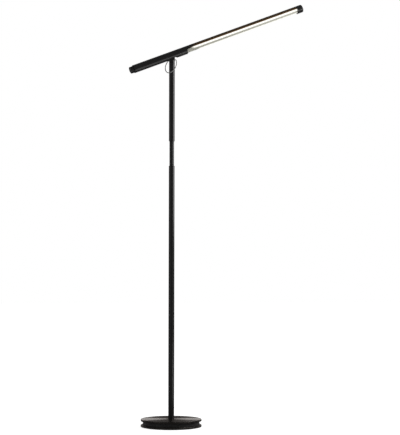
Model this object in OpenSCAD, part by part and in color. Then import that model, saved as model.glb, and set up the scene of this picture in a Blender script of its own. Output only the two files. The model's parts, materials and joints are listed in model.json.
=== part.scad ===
// Floor lamp: a slim tubular LED head that tilts and swivels on a two-stage telescopic pole,
// over a round spool-shaped base. The origin is the centre of the base's underside, +Z is up,
// and the head's long end points along +X.

/* [Base] */
// Diameter of the two flanges of the base
base_d = 205; // [160:1:260]
// Diameter of the waist between the flanges
waist_d = 190.5; // [140:0.5:240]
// Height of the waist, which is the thickness of the iron weight
waist_h = 12; // [12:0.5:24]
// Thickness of the top flange
cap_t = 7; // [6:0.5:12]
// Radius of the rounded lips of the flanges
lip_r = 1.6; // [0.5:0.1:2.5]
// Thickness of the bottom flange
plate_t = 6.5; // [6:0.5:12]
// Diameter of the foot pad
pad_d = 188; // [150:1:200]
// Thickness of the foot pad
pad_t = 1.5; // [1:0.5:4]
// Diameter of the circle that the base screws stand on
base_screw_pcd = 140; // [80:1:150]
// Number of base screws
base_screw_count = 3; // [3:1:6]
// Thread diameter of the base screws
base_screw_d = 5; // [4:0.5:6]

/* [Pole foot] */
// Depth that the pole sits in the top flange
pole_seat = 4; // [2:0.5:5]
// Thread diameter of the pole's stud
stud_d = 10; // [8:0.5:12]
// Length of the plug inside the pole's foot
foot_plug_l = 30; // [20:1:60]
// Bore for the lead through the stud
lead_d = 6; // [4:0.5:7]
// Outside diameter of the pole washer
pole_washer_d = 24; // [20:1:28]
// Thickness of the pole washer
pole_washer_t = 2; // [1:0.5:3]
// Width of the pole nut across its flats
pole_nut_af = 17; // [15:1:19]
// Thickness of the pole nut
pole_nut_t = 7; // [5:0.5:8]

/* [Cord inlet] */
// Diameter of the cord that the inlet takes
cord_d = 5; // [4:0.5:5.5]
// Body diameter of the inlet bush
gland_d = 8; // [7.5:0.1:8.5]
// Flange diameter of the inlet bush
gland_flange_d = 10.5; // [10:0.1:11]
// Flange thickness of the inlet bush
gland_flange_t = 1.5; // [1:0.1:2.5]
// Length of the inlet bush inside the wall
gland_l = 12; // [8:1:20]

/* [Tubes] */
// Outside diameter of the lower and upper tubes
tube_d = 20; // [19:0.5:24]
// Wall of the lower and upper tubes
tube_wall = 1; // [0.8:0.1:1.2]
// Outside diameter of the inner tube
inner_d = 16; // [14:0.5:16]
// Wall of the inner tube
inner_wall = 1; // [0.8:0.1:1.5]
// Length of the lower tube
lower_tube_l = 858; // [700:1:1000]
// Length of the upper tube
upper_tube_l = 264; // [180:1:400]
// Length of inner tube left bare between the two outer tubes
bare_l = 85; // [60:1:120]
// How far the pole can still be pulled out
travel_up = 165; // [100:1:250]
// Length of the guide bush in the mouth of the lower tube
guide_l = 45; // [30:1:60]
// How far the inner tube goes into the upper tube
joint_l = 70; // [50:1:120]
// Length of the friction plug below the inner tube
brake_l = 30; // [24:1:50]
// Length of the plug's spigot in the inner tube
spigot_l = 20; // [10:1:40]
// Number of rubber rings on the friction plug
brake_ring_count = 2; // [1:1:3]
// Width of a rubber ring
brake_ring_w = 3; // [2:0.5:4]
// Depth of a rubber ring's groove
brake_ring_h = 1.6; // [1:0.1:2.5]
// Thread diameter of the screw that joins the tubes
tube_screw_d = 4; // [3:0.5:5]

/* [Swivel] */
// Flange height of the plug on top of the upper tube
top_flange_t = 3; // [2:0.5:5]
// Length of that plug inside the tube
top_plug_l = 25; // [15:1:40]
// Diameter of the swivel shank
shank_d = 8; // [7:0.5:9]
// Thickness of the slide washer of the swivel
slide_washer_t = 1; // [0.5:0.1:2]
// Thickness of the spring washer of the swivel
swivel_spring_t = 1.2; // [0.8:0.1:2]
// Outside diameter of the spring washer of the swivel
swivel_spring_d = 15; // [13:0.5:16]
// Width of the swivel nut across its flats
swivel_nut_af = 13; // [12:0.5:13.5]
// Thickness of the swivel nut
swivel_nut_t = 6.5; // [4:0.5:8]
// Height of the knuckle's collar
collar_h = 7.6; // [6:0.1:12]
// Diameter of the stop pin
stop_d = 2; // [1.5:0.1:2.5]
// Distance of the stop pin from the swivel's axis
stop_ring_r = 7; // [6.6:0.1:7.2]
// Depth of the groove that the stop pin runs in
stop_groove_h = 2; // [1.5:0.1:2.5]
// Half of the swivel's range, in degrees
swivel_half = 165; // [90:1:165]

/* [Tilt joint] */
// Tilt of the head at rest, in degrees above level
tilt_rest = 22.3; // [-30:0.1:30]
// Largest tilt up or down, in degrees
tilt_max = 35; // [30:1:36]
// Thickness of the knuckle's tongue
tongue_t = 7; // [5:0.5:8]
// Diameter of the pivot screw
pivot_d = 5; // [4:0.5:6]
// Head diameter of the pivot screw
pivot_head_d = 8.5; // [8:0.5:10]
// Head height of the pivot screw
pivot_head_t = 2.4; // [2:0.1:3]
// Thickness of the pivot screw's spring washer
pivot_spring_t = 0.8; // [0.5:0.1:1.2]
// Width of the pivot nut across its flats
pivot_nut_af = 8; // [7:0.5:9]
// Thickness of the pivot nut
pivot_nut_t = 4; // [3:0.5:5]
// Diameter of the friction washers
friction_d = 16; // [12:0.5:18]
// Thickness of a friction washer
friction_t = 1; // [0.5:0.1:1.5]
// Length of the clevis block
clevis_l = 52; // [48:1:70]
// How far the collar's shoulder lies below the pivot
shoulder_drop = 19.4; // [19:0.1:24]

/* [Pull ring] */
// Wire diameter of the pull ring
wire_d = 3; // [2:0.1:3]
// Radius of the ring's centre line
ring_r = 26.5; // [22:0.5:32]
// How far the ring's hinge line lies below the pivot
ring_drop = 17.5; // [17:0.1:22]
// How far the ring's centre lies below its hinge line, along the ring
ring_centre = 19; // [12:0.1:20]
// How far the upset corners of the ring stand out from the wire
ring_bead = 0.1; // [0.05:0.05:0.3]
// Angle between the ring's hinge line and the pivot screw, in degrees
ring_turn = 28; // [0:0.1:30]

/* [Head] */
// Outside diameter of the head tube
head_d = 27.5; // [26:0.1:30]
// Wall of the head tube
head_wall = 1.5; // [1.2:0.1:2]
// Length of the head tube behind the pivot
rear_l = 146.3; // [140:0.1:200]
// Distance from the pivot to the start of the light window
window_start = 55.2; // [50:0.1:90]
// Length of the light window
window_l = 441; // [300:1:600]
// Height of the shell's edge above the tube's axis
shell_edge = 5.3; // [4:0.1:7]
// Radius of the window's corners
window_corner_r = 3; // [1:0.5:5]
// Length of whole tube in front of the window
front_l = 12; // [9:0.5:20]
// Visible length of the front cap
front_cap_l = 10; // [5:0.5:20]
// Thread diameter of the front cap's screw
cap_screw_d = 3; // [2:0.5:3]
// Thickness of the two bulkheads
bulkhead_t = 5; // [4:0.5:7]

/* [Light] */
// Outside radius of the lens
lens_r = 10.2; // [9.5:0.1:11]
// Wall of the lens
lens_wall = 1.2; // [0.8:0.1:1.8]
// Pitch of the light-emitting diodes
led_pitch = 22.8; // [15:0.1:24]
// Distance of the first diode from the window's start
led_first = 47.2; // [8:0.1:60]
// Least distance of the last diode from the window's end
led_last = 6; // [5:0.1:12]
// Side of a diode
led_size = 5; // [3:0.1:6]
// Height of a diode
led_t = 1.4; // [0.8:0.1:2]
// Width of the light board
led_board_w = 9; // [7:0.5:11]
// Thickness of the light board
led_board_t = 1; // [0.8:0.1:2]
// Gap between the window's start and the light board
led_board_inset = 4; // [2:0.5:8]

/* [Driver and dimmer] */
// Length of the driver tray
tray_l = 86; // [80:1:92]
// Height of the tray's flat top below the tube's axis
tray_drop = 4; // [3:0.5:6]
// Gap between the clevis and the tray
tray_gap = 6; // [2:1:10]
// Width of the driver board
driver_w = 18; // [14:1:19]
// Thickness of the driver board
driver_t = 1.6; // [1:0.1:2]
// Length of the rear plug
rear_plug_l = 12; // [8:1:16]
// Diameter of the dimmer's housing
pot_d = 16.5; // [14:0.5:18]
// Length of the dimmer's housing
pot_l = 7; // [5:0.5:8]
// Diameter of the dimmer's threaded neck
neck_d = 7; // [7:0.5:9]
// Width of the dimmer's nut across its flats
pot_nut_af = 11; // [10:0.5:12]
// Thickness of the dimmer's nut
pot_nut_t = 2; // [1.5:0.1:3]
// Diameter of the dimmer's shaft
shaft_d = 5; // [4:0.5:6]
// Diameter of the dimmer knob
knob_d = 23.3; // [18:0.1:25]
// Length of the dimmer knob
knob_l = 12.5; // [12:0.5:20]
// Thickness of the knob's face
knob_face_t = 3; // [2:0.5:5]
// Wall of the knob's skirt
knob_skirt = 2.4; // [1.5:0.1:3]
// Thread diameter of the knob's grub screw
knob_screw_d = 3; // [2:0.5:3]

/* [Fits] */
// Radial gap of a fixed fit, between pieces of one body
fit = 0.05; // [0.02:0.01:0.1]
// Radial gap of a running fit, in a joint
run = 0.05; // [0.02:0.01:0.1]
// Gap between two bodies that pass or rest on each other
pass = 0.3; // [0.3:0.05:0.8]

/* [Hidden] */
$fn = 96;

// Overshoot of a cut past the face that it opens
cut = 1;
// Bite of two shapes of one piece into each other
overlap = 0.5;

// Heights in the base
plate_z = pad_t;
weight_z = plate_z + plate_t;
cap_z = weight_z + waist_h;
base_top = cap_z + cap_t;
tube_foot_z = base_top - pole_seat;
pole_pocket_r = pole_washer_d / 2 + 3;
screw_recess = 0.5;
pocket_roof_t = 6;
pole_washer_z = cap_z - pocket_roof_t;
pole_nut_z = pole_washer_z - pole_washer_t - pole_nut_t;
gland_z = weight_z + waist_h / 2;

// Heights on the pole
tube_r = tube_d / 2;
tube_bore_r = tube_r - tube_wall;
inner_r = inner_d / 2;
inner_bore_r = inner_r - inner_wall;
lower_top = tube_foot_z + lower_tube_l;
upper_foot = lower_top + bare_l;
upper_top = upper_foot + upper_tube_l;
guide_z = lower_top - guide_l;
inner_foot = guide_z - travel_up - pass;
inner_l = upper_foot + joint_l - inner_foot;
brake_step = brake_l / (brake_ring_count + 1);
tube_screw_z = upper_foot + joint_l / 2;

// Heights in the swivel and the tilt joint
flange_top = upper_top + top_flange_t;
collar_z = flange_top + slide_washer_t;
shoulder_z = collar_z + collar_h;
pivot_z = shoulder_z + shoulder_drop;
top_plug_z = upper_top - top_plug_l;
shank_proud = 2.5;
swivel_spring_z = top_plug_z - swivel_spring_t;
swivel_nut_z = swivel_spring_z - swivel_nut_t;
shank_z = swivel_nut_z - shank_proud;
stop_key = asin((stop_d / 2 + run) / stop_ring_r);

lead_way_d = 3;
lead_way_turn = 50;

// Sizes in the head, measured along the tube from the pivot
head_r = head_d / 2;
head_bore_r = head_r - head_wall;
seat_r = head_bore_r - fit;
slot_w = tongue_t + 2 * friction_t + 2 * run;
saddle_r = head_r + pass;
slot_half = tube_r / cos(tilt_max) + head_r * tan(tilt_max) + 2 * pass;
relief_half_l = slot_half - 7;
relief_half_w = 10;
relief_top = -7;
cheek_face = slot_w / 2;
window_end = window_start + window_l;
tube_front = window_end + front_l;
cap_front = tube_front + front_cap_l;
carrier_start = clevis_l / 2 + 4;
bulkhead_seat = 2;
tray_end = -clevis_l / 2 - tray_gap;
tray_start = tray_end - tray_l;
board_w0 = shell_edge - led_board_t;
led_count = floor((window_l - led_first - led_last) / led_pitch) + 1;
// Can's diameter and height, then each block's place, length, width and height
can_d = 12;
can_h = 6;
driver_blocks = [[24, 9, 10, 3], [38, 16, 12, 6.5], [60, 6, 8, 2.5], [68, 10, 10, 6]];
knob_front = -rear_l - pass;
knob_rear = knob_front - knob_l;
pot_face = rear_plug_l - rear_l;
neck_end = -rear_l - pot_nut_t - 0.6;
shaft_end = pot_face + pot_l - 1 - pass;
knob_screw_u = knob_rear + knob_face_t + knob_screw_d;
pivot_head_y = head_bore_r - pivot_head_t - cut;
pivot_nut_r = pivot_nut_af / 2 / cos(30);
pivot_nut_end = sqrt(pow(seat_r, 2) - pow(pivot_nut_r, 2)) - pass;
cap_screw_w = (shell_edge + head_bore_r) / 2;

// Sizes of the pull ring, in its own plane: a runs along the hinge line, b runs down the ring
ring_hinge_z = pivot_z - ring_drop;
wire_r = wire_d / 2;
ring_lean = asin((tube_r + wire_r + pass) / (ring_centre + ring_r));
ring_corner = sqrt(pow(ring_r, 2) - pow(ring_centre, 2));
ring_corner_turn = asin(ring_centre / ring_r);
ring_tip = 1;

// Places a shape along the X axis, from start to end
module rod_x(r, start, end) {
    translate([start, 0, 0]) rotate([0, 90, 0]) cylinder(r = r, h = end - start);
}

// Places a shape along the Y axis, from start to end
module rod_y(r, start, end) {
    translate([0, start, 0]) rotate([-90, 0, 0]) cylinder(r = r, h = end - start);
}

// Everything of the head is drawn along X about the pivot, then lifted and tilted
module at_head() {
    translate([0, 0, pivot_z]) rotate([0, -tilt_rest, 0]) children();
}

// A flat disc with its rim rounded at the top, the bottom or both
module lipped_disc(r, h, top, bottom) {
    rotate_extrude()
        union() {
            square([r - lip_r, h]);
            translate([r - lip_r - 0.01, bottom ? lip_r : 0])
                square([lip_r + 0.01, h - (top ? lip_r : 0) - (bottom ? lip_r : 0)]);
            if (top) quarter_lip(r, h - lip_r, 1);
            if (bottom) quarter_lip(r, lip_r, -1);
        }
}

module quarter_lip(r, y, side) {
    intersection() {
        translate([r - lip_r, y]) circle(r = lip_r);
        translate([r - lip_r - 0.01, side > 0 ? y - 0.01 : y - lip_r]) square([lip_r + 0.01, lip_r + 0.01]);
    }
}

module ring_tube(ro, ri, h) {
    difference() {
        cylinder(r = ro, h = h);
        translate([0, 0, -cut]) cylinder(r = ri, h = h + 2 * cut);
    }
}

module hex(af, h) {
    cylinder(r = af / 2 / cos(30), h = h, $fn = 6);
}

module at_base_screws() {
    for (i = [0 : base_screw_count - 1])
        rotate([0, 0, 30 + i * 360 / base_screw_count])
            translate([base_screw_pcd / 2, 0, 0]) children();
}

// Base

module foot_pad() {
    color("#1c1c1c") cylinder(d = pad_d, h = pad_t);
}

module base_plate() {
    color("#202022")
        difference() {
            translate([0, 0, plate_z]) lipped_disc(base_d / 2, plate_t, true, true);
            translate([0, 0, plate_z - cut]) cylinder(r = pole_pocket_r, h = plate_t + 2 * cut);
            at_base_screws() {
                translate([0, 0, plate_z - cut]) cylinder(r = base_screw_d / 2 + fit, h = plate_t + 2 * cut);
                translate([0, 0, plate_z - cut])
                    cylinder(r = base_screw_d + fit, h = base_screw_d / 2 + screw_recess + cut);
            }
        }
}

module base_weight() {
    color("#242426")
        difference() {
            translate([0, 0, weight_z]) cylinder(d = waist_d, h = waist_h);
            translate([0, 0, weight_z - cut])
                cylinder(r = pole_pocket_r, h = pole_washer_z - weight_z + cut);
            translate([0, 0, weight_z - cut]) cylinder(r = stud_d / 2 + fit, h = waist_h + 2 * cut);
            translate([0, 0, gland_z]) rod_y(gland_d / 2 + fit, pole_pocket_r - 4, waist_d / 2 + cut);
            at_base_screws()
                translate([0, 0, weight_z - cut]) cylinder(r = base_screw_d / 2 + fit, h = waist_h + 2 * cut);
        }
}

module base_cap() {
    color("#2a2a2c")
        difference() {
            translate([0, 0, cap_z]) lipped_disc(base_d / 2, cap_t, true, true);
            translate([0, 0, tube_foot_z]) cylinder(r = tube_r + fit, h = pole_seat + cut);
            translate([0, 0, cap_z - cut]) cylinder(r = stud_d / 2 + fit, h = cap_t + cut);
            at_base_screws()
                translate([0, 0, cap_z - cut]) cylinder(r = base_screw_d / 2 + fit, h = cap_t - 2 + cut);
        }
}

module base_screws() {
    color("#8a8c90")
        at_base_screws() {
            translate([0, 0, plate_z + screw_recess + base_screw_d / 4])
                cylinder(d = base_screw_d, h = base_top - 2.5 - plate_z - screw_recess - base_screw_d / 4);
            translate([0, 0, plate_z + screw_recess])
                difference() {
                    cylinder(r = base_screw_d, h = base_screw_d / 2);
                    translate([0, 0, -cut]) hex(base_screw_d * 0.6, base_screw_d / 4 + cut);
                }
        }
}

module foot_plug() {
    color("#9a9c9f")
        difference() {
            union() {
                translate([0, 0, tube_foot_z]) cylinder(r = tube_bore_r - fit, h = foot_plug_l);
                translate([0, 0, pole_nut_z - 1])
                    cylinder(d = stud_d, h = tube_foot_z - pole_nut_z + 1 + overlap);
            }
            translate([0, 0, pole_nut_z - 2]) cylinder(d = lead_d, h = foot_plug_l + tube_foot_z);
        }
}

module pole_washer() {
    color("#8a8c90") translate([0, 0, pole_washer_z - pole_washer_t])
        ring_tube(pole_washer_d / 2, stud_d / 2 + fit, pole_washer_t);
}

module pole_nut() {
    color("#8a8c90") translate([0, 0, pole_nut_z])
        difference() {
            hex(pole_nut_af, pole_nut_t);
            translate([0, 0, -cut]) cylinder(r = stud_d / 2 + fit, h = pole_nut_t + 2 * cut);
        }
}

module cord_gland() {
    color("#151515") translate([0, 0, gland_z])
        difference() {
            union() {
                rod_y(gland_d / 2, waist_d / 2 - gland_l, waist_d / 2);
                rod_y(gland_flange_d / 2, waist_d / 2, waist_d / 2 + gland_flange_t);
            }
            rod_y(cord_d / 2, waist_d / 2 - gland_l - cut, waist_d / 2 + gland_flange_t + cut);
        }
}

// Pole

module lower_tube() {
    color("#202022") translate([0, 0, tube_foot_z]) ring_tube(tube_r, tube_bore_r, lower_tube_l);
}

module guide_bush() {
    color("#303030") translate([0, 0, guide_z])
        ring_tube(tube_bore_r - fit, inner_r + run, guide_l - 0.5);
}

// Stem: all that rises and falls

module inner_tube() {
    color("#2c2c2e")
        difference() {
            translate([0, 0, inner_foot]) ring_tube(inner_r, inner_bore_r, inner_l);
            translate([0, 0, tube_screw_z]) rod_y(tube_screw_d / 2 + fit, 0, tube_r);
        }
}

module friction_plug() {
    color("#d8d4c8")
        difference() {
            union() {
                translate([0, 0, inner_foot - brake_l]) cylinder(r = tube_bore_r - run, h = brake_l);
                translate([0, 0, inner_foot]) cylinder(r = inner_bore_r - fit, h = spigot_l);
            }
            translate([0, 0, inner_foot - brake_l - cut])
                cylinder(d = lead_d, h = brake_l + spigot_l + 2 * cut);
            for (i = [1 : brake_ring_count])
                translate([0, 0, inner_foot - i * brake_step - brake_ring_w / 2])
                    ring_tube(tube_bore_r + cut, tube_bore_r - run - brake_ring_h, brake_ring_w);
        }
}

module friction_rings() {
    color("#181818")
        for (i = [1 : brake_ring_count])
            translate([0, 0, inner_foot - i * brake_step - brake_ring_w / 2])
                ring_tube(tube_bore_r - run / 2, tube_bore_r - run - brake_ring_h + fit, brake_ring_w);
}

module tube_reducer() {
    color("#a0a2a5")
        difference() {
            translate([0, 0, upper_foot]) ring_tube(tube_bore_r - fit, inner_r + fit, joint_l);
            translate([0, 0, tube_screw_z]) rod_y(tube_screw_d / 2 + fit, 0, tube_r);
        }
}

module tube_screw() {
    color("#303032")
        difference() {
            translate([0, 0, tube_screw_z]) rod_y(tube_screw_d / 2, inner_bore_r - 0.5, tube_r - 0.2);
            translate([0, tube_r - 1.4, tube_screw_z]) rotate([-90, 0, 0]) hex(tube_screw_d / 2, 2);
        }
}

module upper_tube() {
    color("#202022")
        difference() {
            translate([0, 0, upper_foot]) ring_tube(tube_r, tube_bore_r, upper_tube_l);
            translate([0, 0, tube_screw_z]) rod_y(tube_screw_d / 2 + fit, 0, tube_r + cut);
        }
}

module top_plug() {
    color("#242426")
        difference() {
            union() {
                translate([0, 0, top_plug_z]) cylinder(r = tube_bore_r - fit, h = top_plug_l + overlap);
                translate([0, 0, upper_top]) cylinder(r = tube_r, h = top_flange_t);
            }
            translate([0, 0, top_plug_z - cut])
                cylinder(r = shank_d / 2 + run, h = top_plug_l + top_flange_t + 2 * cut);
            translate([stop_ring_r, 0, flange_top - top_flange_t])
                cylinder(r = stop_d / 2 + fit, h = top_flange_t + cut);
        }
}

module stop_pin() {
    color("#a0a2a5")
        translate([stop_ring_r, 0, flange_top - top_flange_t])
            cylinder(d = stop_d, h = top_flange_t + slide_washer_t + stop_groove_h - pass);
}

// Swivelling yoke

module knuckle() {
    color("#242426")
        difference() {
            union() {
                translate([0, 0, shank_z]) cylinder(d = shank_d, h = collar_z - shank_z + overlap);
                difference() {
                    translate([0, 0, collar_z]) cylinder(r = tube_r, h = collar_h);
                    for (side = [-1, 1])
                        translate([0, 0, pivot_z]) rotate([0, side * tilt_max, 0])
                            rod_x(saddle_r, -3 * head_d, 3 * head_d);
                }
                knuckle_tongue();
            }
            translate([0, 0, pivot_z]) rod_y(pivot_d / 2 + run, -tongue_t, tongue_t);
            translate([0, 0, ring_hinge_z]) rotate([0, 0, ring_turn])
                rod_y(wire_r + run, -tube_d, tube_d);
            knuckle_lead_way();
            stop_groove();
        }
}

// The flat tongue has the pole's width, and a round top about the pivot
module knuckle_tongue() {
    intersection() {
        translate([-tube_d, -tongue_t / 2, collar_z + stop_groove_h + 1])
            cube([2 * tube_d, tongue_t, 2 * tube_d]);
        union() {
            translate([0, 0, collar_z]) cylinder(r = tube_r, h = pivot_z - collar_z);
            translate([0, 0, pivot_z]) rod_y(tube_r, -tongue_t, tongue_t);
        }
    }
}

// The lead rises in the shank and comes out on the shoulder, beside the tongue
module knuckle_lead_way() {
    turn_z = collar_z + stop_groove_h;
    translate([0, 0, shank_z - cut]) cylinder(d = lead_way_d, h = turn_z - shank_z + cut);
    translate([0, 0, turn_z - lead_way_d / 6]) rotate([-lead_way_turn, 0, 0])
        cylinder(d = lead_way_d, h = tube_r / sin(lead_way_turn));
}

// The stop pin runs in this groove, which a key interrupts opposite to the pin
module stop_groove() {
    key_half = 180 - swivel_half - stop_key;
    translate([0, 0, collar_z - cut])
        rotate([0, 0, -(180 - key_half)])
            rotate_extrude(angle = 2 * (180 - key_half))
                translate([stop_ring_r - stop_d / 2 - run, 0])
                    square([stop_d + 2 * run, stop_groove_h + cut]);
}

module slide_washer() {
    color("#e0dcd0")
        translate([0, 0, flange_top])
            ring_tube(stop_ring_r - stop_d / 2 - pass, shank_d / 2 + fit, slide_washer_t);
}

module swivel_spring() {
    color("#8a8c90") translate([0, 0, swivel_spring_z])
        ring_tube(swivel_spring_d / 2, shank_d / 2 + fit, swivel_spring_t);
}

module swivel_nut() {
    color("#8a8c90") translate([0, 0, swivel_nut_z])
        difference() {
            hex(swivel_nut_af, swivel_nut_t);
            translate([0, 0, -cut]) cylinder(r = shank_d / 2 + fit, h = swivel_nut_t + 2 * cut);
        }
}

// Pull ring: a wire ring open at the top, with its two ends turned in to the hinge line

module pull_ring() {
    color("#8c8c8c")
        translate([0, 0, ring_hinge_z]) rotate([0, 0, ring_turn]) rotate([0, ring_lean, 0]) {
            translate([0, 0, -ring_centre]) wire_arc(ring_r, -180 - ring_corner_turn, ring_corner_turn);
            rod_y(wire_r, ring_tip, ring_corner);
            rod_y(wire_r, -ring_corner, -ring_tip);
            for (side = [-1, 1])
                translate([0, side * ring_corner, 0]) sphere(r = wire_r + ring_bead);
        }
}

// A round of wire in the plane of Y and Z, between two angles above the Y axis
module wire_arc(r, start, end) {
    rotate([0, -90, 0]) rotate([0, 0, 90 - end])
        rotate_extrude(angle = end - start) translate([r, 0]) circle(r = wire_r);
}

// Head

module window_cutter() {
    translate([0, head_d, 0]) rotate([90, 0, 0]) linear_extrude(2 * head_d)
        union() {
            translate([window_start, -head_d]) square([window_l, head_d + shell_edge - window_corner_r]);
            translate([window_start + window_corner_r, -head_d])
                square([window_l - 2 * window_corner_r, head_d + shell_edge]);
            for (u = [window_start + window_corner_r, window_end - window_corner_r])
                translate([u, shell_edge - window_corner_r]) circle(r = window_corner_r);
        }
}

// The tongue's slot, and the wider recess that leaves room for the ring's legs
module underside_cuts(slot_l) {
    translate([-slot_l, -slot_w / 2, -head_d]) cube([2 * slot_l, slot_w, head_d]);
    translate([-relief_half_l, -relief_half_w, -head_d])
        cube([2 * relief_half_l, 2 * relief_half_w, head_d + relief_top]);
}

module head_tube() {
    color("#202022") at_head()
        difference() {
            rod_x(head_r, -rear_l, tube_front);
            rod_x(head_bore_r, -rear_l - cut, tube_front + cut);
            window_cutter();
            underside_cuts(slot_half);
            rod_y(pivot_head_d / 2 + 0.6, 0, head_d);
        }
}

module clevis() {
    color("#707275") at_head()
        difference() {
            rod_x(seat_r, -clevis_l / 2, clevis_l / 2);
            underside_cuts(clevis_l);
            translate([-clevis_l, -slot_w / 2, -cut]) cube([2 * clevis_l, slot_w, tube_r + pass + cut]);
            rod_y(pivot_d / 2 + fit, -head_d, head_d);
            rod_y(pivot_head_d / 2 + fit, pivot_head_y - pivot_spring_t, head_d);
            at_pivot_nut() hex(pivot_nut_af + 2 * fit, head_d);
        }
}

// The pivot nut lies in the cheek on the -Y side, with its axis along -Y
module at_pivot_nut() {
    translate([0, pivot_nut_t - pivot_nut_end, 0]) rotate([90, 0, 0]) children();
}

module pivot_screw() {
    color("#8a8c90") at_head()
        difference() {
            union() {
                rod_y(pivot_d / 2, -pivot_nut_end, pivot_head_y + overlap);
                rod_y(pivot_head_d / 2, pivot_head_y, pivot_head_y + pivot_head_t);
            }
            translate([0, pivot_head_y + pivot_head_t / 3, 0]) rotate([-90, 0, 0])
                hex(pivot_d * 0.7, pivot_head_t);
        }
}

module pivot_spring() {
    color("#8a8c90") at_head()
        difference() {
            rod_y(pivot_head_d / 2, pivot_head_y - pivot_spring_t, pivot_head_y);
            rod_y(pivot_d / 2 + fit, 0, head_d);
        }
}

module pivot_nut() {
    color("#8a8c90") at_head()
        at_pivot_nut()
            difference() {
                hex(pivot_nut_af, pivot_nut_t);
                translate([0, 0, -cut]) cylinder(r = pivot_d / 2 + fit, h = pivot_nut_t + 2 * cut);
            }
}

module friction_washers() {
    color("#c8c4b8") at_head()
        for (side = [-1, 1])
            difference() {
                translate([0, side * (tongue_t / 2 + run + friction_t / 2) - friction_t / 2, 0])
                    rotate([-90, 0, 0]) cylinder(d = friction_d, h = friction_t);
                rod_y(pivot_d / 2 + fit, -head_d, head_d);
            }
}

module driver_tray() {
    color("#2a2a2a") at_head()
        difference() {
            rod_x(seat_r, tray_start, tray_end);
            translate([tray_start - cut, -head_d, -tray_drop]) cube([tray_l + 2 * cut, 2 * head_d, head_d]);
            rod_x(seat_r - 2, tray_start + 3, tray_end - 3);
        }
}

module driver_board() {
    color("#1f5a34") at_head()
        translate([tray_start, -driver_w / 2, -tray_drop]) cube([tray_l, driver_w, driver_t]);
}

// A capacitor can, then the bridge, the choke, the regulator and the terminal block
module driver_parts() {
    color("#3a3a3a") at_head() translate([tray_start, 0, driver_t - tray_drop]) {
        translate([can_d, 0, 0]) cylinder(d = can_d, h = can_h);
        for (p = driver_blocks)
            translate([p[0], -p[2] / 2, 0]) cube([p[1], p[2], p[3]]);
    }
}

module rear_plug() {
    color("#2a2a2a") at_head()
        difference() {
            rod_x(seat_r, -rear_l, -rear_l + rear_plug_l);
            rod_x(neck_d / 2 + fit, -rear_l - cut, -rear_l + rear_plug_l + cut);
        }
}

module dimmer_pot() {
    color("#55585c") at_head()
        difference() {
            union() {
                rod_x(pot_d / 2, pot_face, pot_face + pot_l);
                rod_x(neck_d / 2, neck_end, pot_face + overlap);
            }
            rod_x(shaft_d / 2 + run, neck_end - cut, pot_face + pot_l - 1);
        }
}

module pot_nut() {
    color("#8a8c90") at_head()
        translate([-rear_l - pot_nut_t, 0, 0]) rotate([0, 90, 0])
            difference() {
                hex(pot_nut_af, pot_nut_t);
                translate([0, 0, -cut]) cylinder(r = neck_d / 2 + fit, h = pot_nut_t + 2 * cut);
            }
}

module led_carrier() {
    color("#b8babd") at_head()
        difference() {
            rod_x(seat_r, carrier_start, window_end + bulkhead_t);
            translate([carrier_start - cut, -head_d, -head_d])
                cube([window_end + bulkhead_t - carrier_start + 2 * cut, 2 * head_d, head_d + shell_edge]);
            translate([0, 0, cap_screw_w]) rod_x(cap_screw_d / 2 + fit, window_end - 10, tube_front);
        }
}

module led_board() {
    color("#e8e8e4") at_head()
        translate([window_start + led_board_inset, -led_board_w / 2, board_w0])
            cube([window_l - 2 * led_board_inset, led_board_w, led_board_t]);
}

module leds() {
    color("#fff6d8") at_head()
        for (i = [0 : led_count - 1])
            translate([window_start + led_first + i * led_pitch, 0, board_w0 - led_t / 2])
                cube([led_size, led_size, led_t], center = true);
}

module lens() {
    color("#e8f0f0", 0.5) at_head()
        difference() {
            rod_x(lens_r, window_start - bulkhead_seat, window_end + bulkhead_seat);
            rod_x(lens_r - lens_wall, window_start - bulkhead_seat - cut, window_end + bulkhead_seat + cut);
            translate([window_start - 2 * bulkhead_seat, -head_d, shell_edge])
                cube([window_l + 4 * bulkhead_seat, 2 * head_d, head_d]);
        }
}

// A bulkhead closes one end of the light chamber and holds the lens in a groove
module bulkhead(start, groove_start) {
    difference() {
        rod_x(seat_r, start, start + bulkhead_t);
        translate([start - cut, -head_d, shell_edge]) cube([bulkhead_t + 2 * cut, 2 * head_d, head_d]);
        difference() {
            rod_x(lens_r + fit, groove_start, groove_start + bulkhead_seat + cut);
            rod_x(lens_r - lens_wall - fit, groove_start - cut, groove_start + bulkhead_seat + 2 * cut);
        }
    }
}

module rear_bulkhead() {
    color("#2a2a2a") at_head()
        difference() {
            bulkhead(window_start - bulkhead_t, window_start - bulkhead_seat);
            rod_x(1.5, window_start - bulkhead_t - cut, window_start + cut);
        }
}

module front_bulkhead() {
    color("#2a2a2a") at_head() bulkhead(window_end, window_end - cut);
}

module front_cap() {
    color("#202022") at_head()
        difference() {
            union() {
                rod_x(seat_r, window_end + bulkhead_t, tube_front + overlap);
                translate([tube_front, 0, 0]) rotate([0, 90, 0])
                    lipped_disc(head_r, front_cap_l, true, false);
            }
            translate([0, 0, cap_screw_w]) {
                rod_x(cap_screw_d / 2 + fit, window_end, cap_front + cut);
                rod_x(cap_screw_d + fit, cap_front - cap_screw_d, cap_front + cut);
            }
        }
}

module cap_screw() {
    color("#8a8c90") at_head() translate([0, 0, cap_screw_w])
        difference() {
            union() {
                rod_x(cap_screw_d / 2, window_end - 9, cap_front - cap_screw_d + overlap);
                rod_x(cap_screw_d, cap_front - cap_screw_d, cap_front - cap_screw_d / 3);
            }
            translate([cap_front - cap_screw_d, 0, 0]) rotate([0, 90, 0]) hex(cap_screw_d * 0.7, cap_screw_d);
        }
}

// Dimmer knob and what turns with it

module pot_shaft() {
    color("#b0b2b5") at_head()
        rod_x(shaft_d / 2, knob_rear + knob_face_t, shaft_end);
}

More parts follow.
